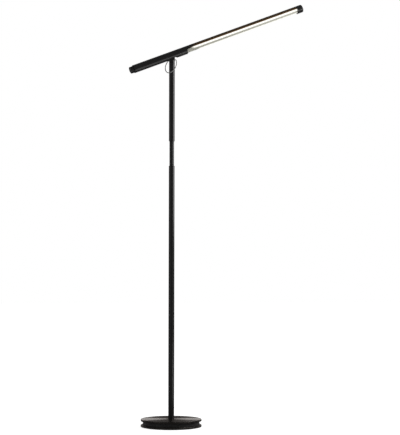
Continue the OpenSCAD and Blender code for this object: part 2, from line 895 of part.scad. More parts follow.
module dimmer_knob() {
    color("#202022") at_head()
        difference() {
            translate([knob_rear + knob_l, 0, 0]) rotate([0, -90, 0])
                lipped_disc(knob_d / 2, knob_l, true, false);
            difference() {
                rod_x(knob_d / 2 - knob_skirt, knob_rear + knob_face_t, knob_front + cut);
                rod_x(neck_d / 2 + 1, knob_rear, neck_end - pass);
            }
            rod_x(shaft_d / 2 + fit, knob_rear + knob_face_t, knob_front + cut);
            translate([knob_screw_u, 0, 0]) rod_y(knob_screw_d / 2 + fit, 0, knob_d);
        }
}

module knob_screw() {
    color("#8a8c90") at_head()
        translate([knob_screw_u, 0, 0]) rod_y(knob_screw_d / 2, shaft_d / 2 + fit, knob_d / 2 - overlap);
}

foot_pad();
base_plate();
base_weight();
base_cap();
base_screws();
foot_plug();
pole_washer();
pole_nut();
cord_gland();
lower_tube();
guide_bush();
inner_tube();
friction_plug();
friction_rings();
tube_reducer();
tube_screw();
upper_tube();
top_plug();
stop_pin();
knuckle();
slide_washer();
swivel_spring();
swivel_nut();
pull_ring();
head_tube();
clevis();
pivot_screw();
pivot_spring();
pivot_nut();
friction_washers();
driver_tray();
driver_board();
driver_parts();
rear_plug();
dimmer_pot();
pot_nut();
led_carrier();
led_board();
leds();
lens();
rear_bulkhead();
front_bulkhead();
front_cap();
cap_screw();
pot_shaft();
dimmer_knob();
knob_screw();
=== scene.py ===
"""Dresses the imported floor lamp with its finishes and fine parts, and sets up its studio."""

from __future__ import annotations

import json
import logging
import math
from dataclasses import dataclass
from enum import Enum
from typing import Any, Iterable, Union

import bmesh
import bpy
import numpy as np
from mathutils import Matrix, Vector

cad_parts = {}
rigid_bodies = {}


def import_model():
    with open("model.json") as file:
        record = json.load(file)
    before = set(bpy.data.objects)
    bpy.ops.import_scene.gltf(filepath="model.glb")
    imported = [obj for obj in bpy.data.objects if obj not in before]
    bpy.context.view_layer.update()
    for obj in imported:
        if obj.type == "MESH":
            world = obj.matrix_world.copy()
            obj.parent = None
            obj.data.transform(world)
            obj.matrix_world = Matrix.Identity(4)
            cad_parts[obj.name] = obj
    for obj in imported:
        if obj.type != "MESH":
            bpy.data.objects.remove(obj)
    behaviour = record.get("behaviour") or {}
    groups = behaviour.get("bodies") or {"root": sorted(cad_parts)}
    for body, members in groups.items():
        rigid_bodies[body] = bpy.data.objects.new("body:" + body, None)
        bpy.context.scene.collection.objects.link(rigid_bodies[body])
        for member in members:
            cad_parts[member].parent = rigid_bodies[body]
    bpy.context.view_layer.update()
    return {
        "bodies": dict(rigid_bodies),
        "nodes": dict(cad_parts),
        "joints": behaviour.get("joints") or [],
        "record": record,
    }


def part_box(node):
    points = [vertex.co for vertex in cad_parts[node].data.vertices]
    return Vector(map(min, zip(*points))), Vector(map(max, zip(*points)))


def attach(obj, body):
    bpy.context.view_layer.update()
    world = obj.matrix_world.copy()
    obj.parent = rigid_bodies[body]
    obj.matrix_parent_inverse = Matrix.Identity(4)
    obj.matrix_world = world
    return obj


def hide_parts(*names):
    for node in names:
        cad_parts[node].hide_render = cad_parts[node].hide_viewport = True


LOG = logging.getLogger("floor_lamp")
MM = 0.001
INSIDE = 0.01 * MM  # how far a turned piece stays inside the node that it replaces

Array = np.ndarray
Material = bpy.types.Material
Object = bpy.types.Object
Term = Union["Value", int, float]
Span = tuple[float, float]
Triple = tuple[float, float, float]
Colour = Triple

ZINC: Colour = (0.55, 0.56, 0.58)
SPRING_STEEL: Colour = (0.30, 0.31, 0.34)


# ---------------- node trees


class Value:
    """A number that varies over a surface: one output socket with arithmetic on it."""

    def __init__(self, graph: Graph, socket: Any) -> None:
        """Wraps an output socket of a graph's tree."""
        self.graph = graph
        self.socket = socket

    def __add__(self, other: Term) -> Value:
        """self + other."""
        return self.graph.math("ADD", self, other)

    def __radd__(self, other: Term) -> Value:
        """other + self."""
        return self.graph.math("ADD", other, self)

    def __sub__(self, other: Term) -> Value:
        """self - other."""
        return self.graph.math("SUBTRACT", self, other)

    def __rsub__(self, other: Term) -> Value:
        """other - self."""
        return self.graph.math("SUBTRACT", other, self)

    def __mul__(self, other: Term) -> Value:
        """self * other."""
        return self.graph.math("MULTIPLY", self, other)

    def __rmul__(self, other: Term) -> Value:
        """other * self."""
        return self.graph.math("MULTIPLY", other, self)

    def sin(self) -> Value:
        """Sine of self, in radians."""
        return self.graph.math("SINE", self)

    def root(self) -> Value:
        """Square root of self."""
        return self.graph.math("SQRT", self)

    def at_most(self, other: Term) -> Value:
        """The smaller of self and other."""
        return self.graph.math("MINIMUM", self, other)

    def at_least(self, other: Term) -> Value:
        """The larger of self and other."""
        return self.graph.math("MAXIMUM", self, other)

    def rise(self, low: float, high: float) -> Value:
        """0 at low, 1 at high and smooth between them; low may be the larger one."""
        node = self.graph.node(
            "ShaderNodeMapRange",
            {"interpolation_type": "SMOOTHSTEP"},
            {"Value": self, "From Min": low, "From Max": high},
        )
        return Value(self.graph, node.outputs["Result"])


class Graph:
    """A node tree, with short ways to add to it."""

    rough = 0.55  # how much each octave of noise keeps of the one before

    def __init__(self, tree: bpy.types.NodeTree) -> None:
        """Empties the node tree of a material or of the world, and keeps it."""
        self.tree = tree
        self.tree.nodes.clear()

    def node(self, kind: str, settings: dict[str, Any], inputs: dict[Any, Any]) -> Any:
        """Adds a node.

        Args:
            kind: The node's type name.
            settings: Attributes of the node, which are set first.
            inputs: Socket name or index to a number, a tuple, a Value or a socket.

        Returns:
            The new node.
        """
        node = self.tree.nodes.new(kind)
        for name, value in settings.items():
            setattr(node, name, value)
        for key, value in inputs.items():
            source = value.socket if isinstance(value, Value) else value
            if isinstance(source, bpy.types.NodeSocket):
                self.tree.links.new(source, node.inputs[key])
            else:
                node.inputs[key].default_value = source
        return node

    def math(self, operation: str, *terms: Term) -> Value:
        """Adds a Math node and returns its result."""
        node = self.node("ShaderNodeMath", {"operation": operation}, dict(enumerate(terms)))
        return Value(self, node.outputs[0])

    def place(self) -> Any:
        """The socket with the place on the object, in metres in the lamp's frame."""
        return self.node("ShaderNodeTexCoord", {}, {}).outputs["Object"]

    def axes(self, vector: Any) -> tuple[Value, Value, Value]:
        """The three parts of a vector socket."""
        node = self.node("ShaderNodeSeparateXYZ", {}, {"Vector": vector})
        return tuple(Value(self, node.outputs[i]) for i in range(3))

    def along(self, vector: Any, origin: Iterable[float], way: Iterable[float]) -> Value:
        """How far a place lies along a way.

        Args:
            vector: The socket with the place.
            origin: The point that counts as 0, in metres.
            way: The unit vector to measure along.

        Returns:
            The distance in millimetres.
        """
        offset = self.node(
            "ShaderNodeVectorMath", {"operation": "SUBTRACT"}, {0: vector, 1: tuple(origin)}
        )
        scaled = tuple(float(c) / MM for c in way)
        dot = self.node(
            "ShaderNodeVectorMath", {"operation": "DOT_PRODUCT"}, {0: offset.outputs[0], 1: scaled}
        )
        return Value(self, dot.outputs["Value"])

    def noise(self, scale: float, detail: float = 3.0, vector: Any = None) -> Value:
        """Noise from 0 to 1.

        Args:
            scale: Features per metre.
            detail: Number of octaves.
            vector: The place to read it at, which is the place on the object by default.

        Returns:
            The noise.
        """
        node = self.node(
            "ShaderNodeTexNoise",
            {},
            {
                "Vector": vector or self.place(),
                "Scale": scale,
                "Detail": detail,
                "Roughness": self.rough,
            },
        )
        return Value(self, node.outputs["Fac"])

    def drawn_out(self, lay: Lay) -> Value:
        """Noise from 0 to 1 that is drawn out along the lay of a surface."""
        node = self.node("ShaderNodeMapping", {}, {"Vector": self.place(), "Scale": lay.value})
        return self.noise(1.0, 3.0, node.outputs["Vector"])

    def blend(self, share: Value, low: Any, high: Any) -> Any:
        """A colour between two, by a share from 0 to 1; each is a triple or a colour socket."""
        ends = [(*c, 1.0) if isinstance(c, tuple) else c for c in (low, high)]
        node = self.node(
            "ShaderNodeMix",
            {"data_type": "RGBA", "clamp_factor": True},
            {"Factor": share, 6: ends[0], 7: ends[1]},
        )
        return node.outputs[2]

    def bump(self, height: Value, depth: float) -> Any:
        """The normal of a surface whose height varies by depth metres."""
        node = self.node("ShaderNodeBump", {}, {"Height": height, "Distance": depth})
        return node.outputs["Normal"]

    def ray(self, *kinds: str) -> Value:
        """1 for a ray of one of the kinds, else 0.

        Args:
            *kinds: Outputs of the Light Path node.

        Returns:
            The mask.
        """
        path = self.node("ShaderNodeLightPath", {}, {})
        total = Value(self, path.outputs[kinds[0]])
        for kind in kinds[1:]:
            total = total + Value(self, path.outputs[kind])
        return total.at_most(1.0)


class Shader(Graph):
    """One material's node tree, with a Principled shader at its end."""

    def __init__(self, name: str) -> None:
        """Makes an empty material.

        Args:
            name: The material's name.
        """
        self.material = bpy.data.materials.new(name)
        self.material.use_nodes = True
        super().__init__(self.material.node_tree)
        self.output = self.node("ShaderNodeOutputMaterial", {}, {})

    def show(self, shader: Any) -> Material:
        """Joins a shader's socket to the output and returns the material."""
        self.tree.links.new(shader, self.output.inputs["Surface"])
        return self.material

    def principled(self, **inputs: Any) -> Material:
        """Adds the Principled shader and joins it to the output.

        Args:
            **inputs: Socket names, with underscores for spaces, and their values.

        Returns:
            The finished material.
        """
        named = {key.replace("_", " "): value for key, value in inputs.items()}
        for key, value in named.items():
            if isinstance(value, tuple) and len(value) == 3:
                named[key] = (*value, 1.0)
        return self.show(self.node("ShaderNodeBsdfPrincipled", {}, named).outputs[0])


# ---------------- finishes


def lighter(colour: Colour, factor: float) -> Colour:
    """A colour times a factor, kept below white."""
    return tuple(min(1.0, c * factor) for c in colour)


class Lay(Enum):
    """The way that fine scratches run, as their number in a metre along X, Y and Z."""

    UPRIGHT = (2200.0, 2200.0, 50.0)
    LENGTHWISE = (60.0, 2200.0, 900.0)
    ALL_WAYS = (1500.0, 1500.0, 1500.0)


@dataclass(frozen=True)
class PowderCoat:
    """Semi-matt coat: a fine orange peel, and faint cloudiness in its colour and gloss."""

    name: str
    colour: Colour = (0.0080, 0.0078, 0.0078)
    roughness: float = 0.20
    specular: float = 0.25
    peel: float = 0.000004

    def tint(self, s: Shader, cloud: Value) -> Any:
        """The socket with the coat's colour, which is lighter by a third where it is cloudy."""
        return s.blend(cloud.rise(0.35, 0.75), self.colour, lighter(self.colour, 1.35))

    def build(self) -> Material:
        """Makes the material."""
        s = Shader(self.name)
        cloud = s.noise(22.0, 4.0)
        return s.principled(
            Base_Color=self.tint(s, cloud),
            Roughness=cloud * 0.06 + (self.roughness - 0.03),
            Specular_IOR_Level=self.specular,
            Normal=s.bump(s.noise(900.0, 2.0), self.peel),
        )


@dataclass(frozen=True)
class RubbedCoat:
    """Satin coat on the sliding tube, with faint upright rub marks from the bush."""

    name: str
    colour: Colour = (0.0075, 0.0075, 0.0078)
    rubbed: Colour = (0.016, 0.016, 0.017)

    def build(self) -> Material:
        """Makes the material. The marks are noise drawn out along Z."""
        s = Shader(self.name)
        marks = s.drawn_out(Lay.UPRIGHT)
        return s.principled(
            Base_Color=s.blend(marks.rise(0.55, 0.8), self.colour, self.rubbed),
            Roughness=marks * 0.10 + 0.20,
            Specular_IOR_Level=0.3,
            Normal=s.bump(marks, 0.000002),
        )


@dataclass(frozen=True)
class TurnedLacquer:
    """Dark lacquer with metal in it over a face turned on a lathe, in fine rings."""

    name: str
    colour: Colour = (0.031, 0.028, 0.026)
    edge_tint: Colour = (1.0, 0.93, 0.89)
    metallic: float = 0.85
    roughness: float = 0.24
    pitch_mm: float = 1.0
    depth: float = 0.00002

    def build(self) -> Material:
        """Makes the material. Its height is a sine of the distance from the pole's axis."""
        s = Shader(self.name)
        x, y, _ = s.axes(s.place())
        radius = (x * x + y * y).root()
        wander = s.noise(40.0, 2.0) * 1.5
        ring = (radius * (2 * math.pi / (self.pitch_mm * MM)) + wander).sin()
        cloud = s.noise(18.0, 3.0)
        return s.principled(
            Base_Color=s.blend(cloud.rise(0.3, 0.8), self.colour, lighter(self.colour, 1.5)),
            Metallic=self.metallic,
            Roughness=cloud * 0.06 + (self.roughness - 0.03),
            Specular_Tint=self.edge_tint,
            Normal=s.bump(ring * 0.5 + s.noise(2600.0, 2.0) * 0.4, self.depth),
        )


@dataclass(frozen=True)
class BrushedMetal:
    """Bare or plated metal with fine scratches along its lay, and a cloudier tarnish."""

    name: str
    colour: Colour
    roughness: float = 0.32
    lay: Lay = Lay.ALL_WAYS
    metallic: float = 1.0
    depth: float = 0.000008

    def build(self) -> Material:
        """Makes the material. The scratches are noise drawn out along the lay."""
        s = Shader(self.name)
        lines = s.drawn_out(self.lay)
        tarnish = s.noise(90.0, 3.0).rise(0.3, 0.7)
        return s.principled(
            Base_Color=s.blend(tarnish, lighter(self.colour, 0.74), self.colour),
            Metallic=self.metallic,
            Roughness=lines * 0.14 + (self.roughness - 0.07),
            Normal=s.bump(lines, self.depth),
        )


@dataclass(frozen=True)
class Moulding:
    """Moulded plastic or rubber with a fine grain."""

    name: str
    colour: Colour
    roughness: float = 0.45
    specular: float = 0.35
    grain: float = 1800.0
    depth: float = 0.000012

    def build(self) -> Material:
        """Makes the material."""
        s = Shader(self.name)
        grain = s.noise(self.grain, 2.0)
        flow = s.noise(40.0, 2.0)
        return s.principled(
            Base_Color=s.blend(flow, self.colour, lighter(self.colour, 1.25)),
            Roughness=grain * 0.12 + (self.roughness - 0.06),
            Specular_IOR_Level=self.specular,
            Normal=s.bump(grain, self.depth),
        )


@dataclass(frozen=True)
class CastIron:
    """Black paint over a coarse casting."""

    name: str
    colour: Colour = (0.0105, 0.0100, 0.0097)

    def build(self) -> Material:
        """Makes the material. Coarse sand grain under the paint gives its bump."""
        s = Shader(self.name)
        sand = s.noise(420.0, 4.0)
        return s.principled(
            Base_Color=s.blend(sand.rise(0.3, 0.7), self.colour, lighter(self.colour, 1.5)),
            Roughness=sand * 0.15 + 0.36,
            Specular_IOR_Level=0.25,
            Normal=s.bump(sand, 0.00003),
        )


@dataclass(frozen=True)
class CircuitBoard:
    """Solder mask over copper: straight tracks show as faint steps in its colour."""

    name: str
    mask: Colour
    track: Colour
    pitch: float = 260.0

    def build(self) -> Material:
        """Makes the material. The tracks are the steps of a coarse cell pattern."""
        s = Shader(self.name)
        cells = s.node(
            "ShaderNodeTexBrick",
            {"offset": 0.5},
            {"Vector": s.place(), "Scale": self.pitch, "Mortar Size": 0.08, "Mortar Smooth": 0.2},
        )
        track = Value(s, cells.outputs["Fac"])
        return s.principled(
            Base_Color=s.blend(track, self.mask, self.track),
            Roughness=s.noise(300.0, 2.0) * 0.1 + 0.3,
            Normal=s.bump(track, 0.00003),
        )


@dataclass(frozen=True)
class Phosphor:
    """The lit yellow filling of a diode, grainy and a little brighter than white."""

    name: str
    colour: Colour = (1.0, 0.93, 0.72)
    strength: float = 7.0

    def build(self) -> Material:
        """Makes the material."""
        s = Shader(self.name)
        grain = s.noise(4000.0, 2.0)
        return s.principled(
            Base_Color=(0.85, 0.70, 0.30),
            Roughness=0.5,
            Emission_Color=s.blend(grain, lighter(self.colour, 0.9), self.colour),
            Emission_Strength=self.strength,
        )


@dataclass(frozen=True)
class Axes:
    """Three axes at a point: the long way of the head, its side and its top."""

    origin: Array
    along: Array
    side: Array
    up: Array

    def place(self, along: Any, side: Any, up: Any) -> Array:
        """Points given by their distances along the three axes.

        Args:
            along: Distances along the head, in metres, as an array or a number.
            side: Distances to the side.
            up: Distances upwards across the head.

        Returns:
            An array of points with the shape of the inputs and a last axis of 3.
        """
        parts = np.broadcast_arrays(along, side, up)
        ways = (self.along, self.side, self.up)
        return self.origin + sum(p[..., None] * w for p, w in zip(parts, ways))

    def local(self, points: Array) -> Array:
        """Distances along the three axes for an array of points."""
        return (points - self.origin) @ np.stack([self.along, self.side, self.up], 1)


@dataclass(frozen=True)
class Window:
    """The head's light window, in millimetres along the head's axes."""

    head: Axes
    start: float
    end: float
    edge: float

    def read(self, s: Shader) -> tuple[Value, Value]:
        """How far a place lies along the head and how far over its axis, in millimetres."""
        place = s.place()
        ways = (self.head.along, self.head.up)
        return tuple(s.along(place, self.head.origin, way) for way in ways)


@dataclass(frozen=True, kw_only=True)
class ShellCoat(PowderCoat):
    """The head's coat, with painted light: brown spilled light from the lens painted along the
    edges of its window.

    Lengths are in millimetres: the spill is as wide as spill_width above the window's edge,
    begins between the two distances from_start and fades over the last from_end.
    """

    window: Window
    # colour of the painted light spilled from the lens onto the coat
    spill: Colour = (0.036, 0.021, 0.008)
    spill_width: float = 15.0
    from_start: Span = (18.0, 34.0)
    from_end: float = 8.0

    def tint(self, s: Shader, cloud: Value) -> Any:
        """The socket with the coat's colour, with the painted brown light where both rises are 1.
        """
        u, w = self.window.read(s)
        start, end, edge = self.window.start, self.window.end, self.window.edge
        first, full = self.from_start
        beside = u.rise(start + first, start + full) * u.rise(end, end - self.from_end)
        painted_spill_light = w.rise(edge + self.spill_width, edge) * beside
        return s.blend(painted_spill_light, super().tint(s, cloud), self.spill)


@dataclass(frozen=True)
class FrostedLens:
    """Frosted clear plastic that is lit from inside by the row of diodes.

    Its glow is painted light, an emission of the lens itself: it glows beside the diodes and
    straight below them, and is grey between. Next to the shell's edge its painted light is amber.
    Over the lead-in, before the first diode, it is grey below a straight line and has the shell's
    shade painted on above it. Lengths are in millimetres; beside and below are heights over the
    head's axis as shares of the lens's radius, where a glow begins and where it is full, and lit
    gives the same two as shares of the lead-in.
    """

    name: str
    window: Window
    radius: float
    diodes: tuple[float, ...]
    grey: Colour = (0.255, 0.253, 0.218)
    # amber light painted along the shell's edge, in colour and glow
    amber: Colour = (0.085, 0.036, 0.006)
    # the shell's shade, painted on the lens over the lead-in
    shade: Colour = (0.010, 0.009, 0.008)
    # colour of the painted glow; the lens is no lamp
    glow: Colour = (1.0, 0.985, 0.93)
    frost: float = 0.90
    lead_in: float = 45.0
    lead_blur: float = 2.0
    shade_rise: float = 5.3
    shade_blur: Span = (-0.6, 0.8)
    amber_width: float = 2.0
    amber_blur: float = 0.5
    beside: Span = (-0.42, -0.08)
    below: Span = (-0.76, -0.95)
    below_share: float = 0.85
    lit: Span = (0.36, 0.74)
    lit_slant: float = 2.2
    dot_share: float = 0.07
    tip_share: float = 0.10

    def glow_share(self, u: Value, w: Value) -> Value:
        """The share of the full painted glow, at u along the head and w over its axis.

        It is rise(w) beside the diodes or, fainter, rise(-w) below them, times a sine with its
        crests at the diodes, and never less than a small part that rises with u to the tip.
        """
        beside = w.rise(*(share * self.radius for share in self.beside))
        below = w.rise(*(share * self.radius for share in self.below))
        pitch = self.diodes[1] - self.diodes[0]
        phase = (u - self.diodes[0]) * (2 * math.pi / pitch) + math.pi / 2
        dots = phase.sin() * self.dot_share + (1.0 - self.dot_share)
        towards_tip = u.rise(self.window.start, self.window.end) * self.tip_share
        return (beside.at_least(below * self.below_share) * dots).at_least(towards_tip)

    def build(self) -> Material:
        """Makes the material.

        The painted shade lies where w stands over a line that climbs by shade_rise through the
        lead-in. The lens's painted light starts from a slanted line on, where u + w * lit_slant
        rises.
        """
        s = Shader(self.name)
        u, w = self.window.read(s)
        start, edge, black = self.window.start, self.window.edge, (0.0, 0.0, 0.0)
        lead_end = start + self.lead_in
        over_line = w - edge - (u - lead_end) * (self.shade_rise / self.lead_in)
        before = u.rise(lead_end + self.lead_blur, lead_end - self.lead_blur)
        # mask of the painted shade over the lead-in
        shade = over_line.rise(*self.shade_blur) * before
        lit = (u + w * self.lit_slant).rise(*(start + share * self.lead_in for share in self.lit))
        # the painted amber light: a strip under the shell's edge
        amber_top = edge - self.amber_width
        amber = w.rise(amber_top - self.amber_blur, amber_top + self.amber_blur) * lit
        # the grey lens, with the painted shade in its colour
        body = s.blend(shade, self.grey, self.shade)
        # the painted glow of the lit lens
        light = s.blend(self.glow_share(u, w) * lit, black, self.glow)
        warm = s.blend(amber, light, self.amber)
        return s.principled(
            # the painted amber light, at half strength, in the base colour too
            Base_Color=s.blend(amber, body, lighter(self.amber, 0.5)),
            Roughness=s.noise(500.0, 2.0) * 0.1 + 0.38,
            Specular_IOR_Level=0.15,
            Alpha=s.noise(60.0, 2.0) * 0.04 + (self.frost - 0.02),
            # the painted glow as emission, black under the painted shade
            Emission_Color=s.blend(shade, warm, black),
            Emission_Strength=1.0,
            Normal=s.bump(s.noise(1600.0, 2.0), 0.00001),
        )


# ---------------- surfaces


class Skin:
    """Patches of surface, worked out as arrays of points, that become one mesh."""

    def __init__(self, name: str) -> None:
        """Starts an empty skin.

        Args:
            name: The piece's name.
        """
        self.name = name
        self.points: list[Array] = []
        self.quads: list[Array] = []
        self.slots: list[Array] = []
        self.count = 0

    def patch(
        self, grid: Array, around: bool = False, closed: bool = False, slot: int = 0
    ) -> Skin:
        """Adds a grid of points as quads, or a stack of such grids.

        Args:
            grid: Points as rows of columns, (rows, columns, 3), or a stack of them.
            around: Whether the last column joins the first.
            closed: Whether the last row joins the first.
            slot: The index of the material.

        Returns:
            This skin.
        """
        stack = grid.reshape((-1, *grid.shape[-3:]))
        copies, rows, columns, _ = stack.shape
        r, c = np.meshgrid(
            np.arange(rows if closed else rows - 1),
            np.arange(columns if around else columns - 1),
            indexing="ij",
        )
        r_next, c_next = (r + 1) % rows, (c + 1) % columns
        corners = (r * columns + c, r * columns + c_next, r_next * columns + c_next)
        quad = np.stack([*corners, r_next * columns + c], -1).reshape(-1, 4)
        shift = self.count + np.arange(copies)[:, None, None] * rows * columns
        self.points.append(stack.reshape(-1, 3))
        self.quads.append((quad[None] + shift).reshape(-1, 4))
        self.slots.append(np.full(len(quad) * copies, slot))
        self.count += copies * rows * columns
        return self

    def build(self, crease_deg: float = 35.0) -> Object:
        """Makes the object: doubles merged, faces outwards, edges over the crease sharp.

        Args:
            crease_deg: The angle between faces over which an edge is sharp.

        Returns:
            The new object, at the origin.
        """
        mesh = bpy.data.meshes.new(self.name)
        quads = np.concatenate(self.quads)
        mesh.from_pydata(np.concatenate(self.points).tolist(), [], quads.tolist())
        mesh.polygons.foreach_set("material_index", np.concatenate(self.slots).astype(np.int32))
        work = bmesh.new()
        work.from_mesh(mesh)
        bmesh.ops.remove_doubles(work, verts=work.verts, dist=1e-7)
        bmesh.ops.recalc_face_normals(work, faces=work.faces)
        work.to_mesh(mesh)
        work.free()
        mesh.polygons.foreach_set("use_smooth", np.ones(len(mesh.polygons), bool))
        mesh.set_sharp_from_angle(angle=math.radians(crease_deg))
        piece = bpy.data.objects.new(self.name, mesh)
        bpy.context.scene.collection.objects.link(piece)
        return piece


def arc(centre: Span, radius: float, start: float, end: float, steps: int) -> Array:
    """Points of a round arc: centre + radius * (cos a, sin a), a from start to end in degrees."""
    angle = np.radians(np.linspace(start, end, steps))
    return np.stack([centre[0] + radius * np.cos(angle), centre[1] + radius * np.sin(angle)], 1)


def turned(profile: Array, steps: int) -> Array:
    """A profile of (radius, height) turned about Z.

    The points are (r cos t, r sin t, z), with t running round once.

    Args:
        profile: The profile's points, (n, 2).
        steps: Number of steps round.

    Returns:
        A grid (n, steps, 3).
    """
    turn = np.linspace(0, 2 * math.pi, steps, endpoint=False)
    r, z = profile[:, :1], profile[:, 1:]
    return np.stack([r * np.cos(turn), r * np.sin(turn), z + 0 * turn], -1)


def tube_along(path: Array, radius: float, steps: int, side: Array) -> Array:
    """A round tube along a flat path.

    A ring's points are p + radius * (cos t * s + sin t * (s x d)), with p the path's point, d its
    direction and s the constant unit vector across the path's plane.

    Args:
        path: The path's points, (n, 3), in one plane.
        radius: The tube's radius.
        steps: Points in a ring.
        side: The unit vector across the path's plane.

    Returns:
        A grid (n, steps, 3).
    """
    ways = np.gradient(path, axis=0)
    ways /= np.linalg.norm(ways, axis=1, keepdims=True)
    across = np.cross(side, ways)
    turn = np.linspace(0, 2 * math.pi, steps, endpoint=False)[None, :, None]
    ring = np.cos(turn) * side + np.sin(turn) * across[:, None, :]
    return path[:, None, :] + radius * ring


def domed_end(ring: Array, centre: Array, push: Array, steps: int = 4) -> Array:
    """A round end over a ring of points, closed at a pole.

    Row k is centre + cos a * (ring - centre) + sin a * push, with a from 0 to 90 degrees.

    Args:
        ring: The ring's points, (n, 3).
        centre: The ring's centre.
        push: How far and which way the pole stands out.
        steps: Number of rows.

    Returns:
        A grid (steps + 1, n, 3).
    """
    a = np.linspace(0, math.pi / 2, steps + 1)[:, None, None]
    return centre + np.cos(a) * (ring - centre) + np.sin(a) * push


def points_of(node: Object) -> Array:
    """The corners of a node's mesh as an array (n, 3)."""
    flat = np.zeros(len(node.data.vertices) * 3)
    node.data.vertices.foreach_get("co", flat)
    return flat.reshape(-1, 3)


def dress(piece: Object, *materials: Material) -> None:
    """Gives a piece or a node its materials, in the order of its slots."""
    piece.data.materials.clear()
    for material in materials:
        piece.data.materials.append(material)


@dataclass
class Assembly:
    """One sub-assembly of the lamp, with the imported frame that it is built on."""

    frame: dict[str, Any]

    def node(self, name: str) -> Object:
        """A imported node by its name."""
        return self.frame["nodes"][name]

    def finish(self, *rows: tuple[Any, ...]) -> None:
        """Builds finishes and gives them to nodes.

        Args:
            *rows: Each a finish, followed by the names of its nodes.
        """
        for finish, *names in rows:
            material = finish.build()
            for name in names:
                dress(self.node(name), material)
                LOG.info("finished %s with %s", name, material.name)

    def joint(self, name: str) -> tuple[Array, Array]:
        """A joint's place and axis as arrays."""
        joint = next(j for j in self.frame["joints"] if j["name"] == name)
        return np.array(joint["pos_m"], float), np.array(joint["axis"], float)

    def add(
        self,
        piece: Object,
        body: str,
        slot: str,
        materials: Iterable[Material],
        stands_for: tuple[str, ...] = (),
    ) -> None:
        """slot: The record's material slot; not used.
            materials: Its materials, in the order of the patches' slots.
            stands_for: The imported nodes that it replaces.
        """
        dress(piece, *materials)
        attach(piece, body)
        if stands_for:
            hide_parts(*stands_for)
        LOG.info("built %s: %d faces on %s", piece.name, len(piece.data.polygons), body)


# ---------------- base


@dataclass
class SpoolBase(Assembly):
    """The spool-shaped foot: two flanges on an iron waist, with its pad and fasteners."""

    groove_pitch: float = 1.0 * MM
    groove_slope_deg: float = 11.0
    lip: float = 1.6 * MM
    socket_wall: float = 5.0 * MM
    steps_round: int = 256

    def cap_profile(self) -> Array:
        """The closed profile of the top flange, as (radius, height).

        Its top is a zigzag: the height falls by half a pitch times the tangent of the slope at
        every second point. Its rim is two quarter rounds.
        """
        low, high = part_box("base_cap")
        spread = points_of(self.node("base_cap"))
        bore = np.hypot(spread[:, 0], spread[:, 1]).min()
        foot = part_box("lower_tube")[0].z
        socket = bore + self.socket_wall
        rim, top, bottom, lip = min(high.x, high.y) - INSIDE, high.z, low.z, self.lip
        count = int((rim - lip - socket) / self.groove_pitch)
        radii = np.linspace(rim - lip, socket, 2 * count + 1)
        depth = self.groove_pitch / 2 * math.tan(math.radians(self.groove_slope_deg))
        parts = (
            arc((rim - lip, bottom + lip), lip, -90, 0, 8),
            arc((rim - lip, top - lip), lip, 0, 90, 8)[:-1],
            np.stack([radii, top - depth * (np.arange(len(radii)) % 2)], 1),
            [[socket, foot], [bore, foot], [bore, bottom]],
        )
        return np.concatenate(parts)

    def build(self) -> None:
        """Dresses the foot's nodes and builds the turned top flange."""
        face = TurnedLacquer("turned_face", depth=0.000004).build()
        grid = turned(self.cap_profile(), self.steps_round)
        cap = Skin("turned_cap").patch(grid, around=True, closed=True).build(crease_deg=16.0)
        self.add(cap, "base", "base_turned", [face], ("base_cap",))
        pad = Moulding("pad_rubber", (0.012, 0.012, 0.012), 0.75, 0.2, 700.0, 0.00004)
        self.finish(
            (TurnedLacquer("turned_lacquer", roughness=0.42), "base_plate"),
            (CastIron("painted_iron"), "base_weight"),
            (pad, "foot_pad"),
            (Moulding("inlet_rubber", (0.010, 0.010, 0.010), 0.6, 0.25), "cord_gland"),
            (BrushedMetal("zinc_plate", ZINC, 0.3), "base_screws", "pole_washer"),
            (BrushedMetal("turned_steel", (0.42, 0.43, 0.45), 0.36), "foot_plug", "pole_nut"),
        )


# ---------------- pole


@dataclass
class TelescopicPole(Assembly):
    """The lower tube, the sliding inner tube and the upper tube, with the slide inside."""

    def build(self) -> None:
        """Dresses the pole's nodes."""
        alloy = BrushedMetal("reducer_alloy", (0.62, 0.63, 0.65), 0.34, Lay.UPRIGHT)
        nylon = Moulding("bush_nylon", (0.016, 0.016, 0.016), 0.4)
        self.finish(
            (PowderCoat("pole_coat", roughness=0.16), "lower_tube", "upper_tube"),
            (RubbedCoat("inner_coat"), "inner_tube"),
            (nylon, "guide_bush", "friction_plug"),
            (Moulding("ring_rubber", (0.008, 0.008, 0.008), 0.6), "friction_rings"),
            (alloy, "tube_reducer"),
            (BrushedMetal("black_screw", (0.05, 0.05, 0.052), 0.35), "tube_screw", "stop_pin"),
            (PowderCoat("plug_coat", roughness=0.26), "top_plug"),
        )


# ---------------- swivel and ring


@dataclass
class SwivelKnuckle(Assembly):
    """The knuckle that turns on the pole and carries the head's pivot."""

    def build(self) -> None:
        """Dresses the knuckle and what holds it down."""
        self.finish(
            (PowderCoat("knuckle_coat", roughness=0.26), "knuckle"),
            (Moulding("slide_nylon", (0.012, 0.012, 0.012), 0.4), "slide_washer"),
            (BrushedMetal("spring_steel", SPRING_STEEL, 0.3), "swivel_spring"),
            (BrushedMetal("nut_zinc", ZINC, 0.3), "swivel_nut"),
        )


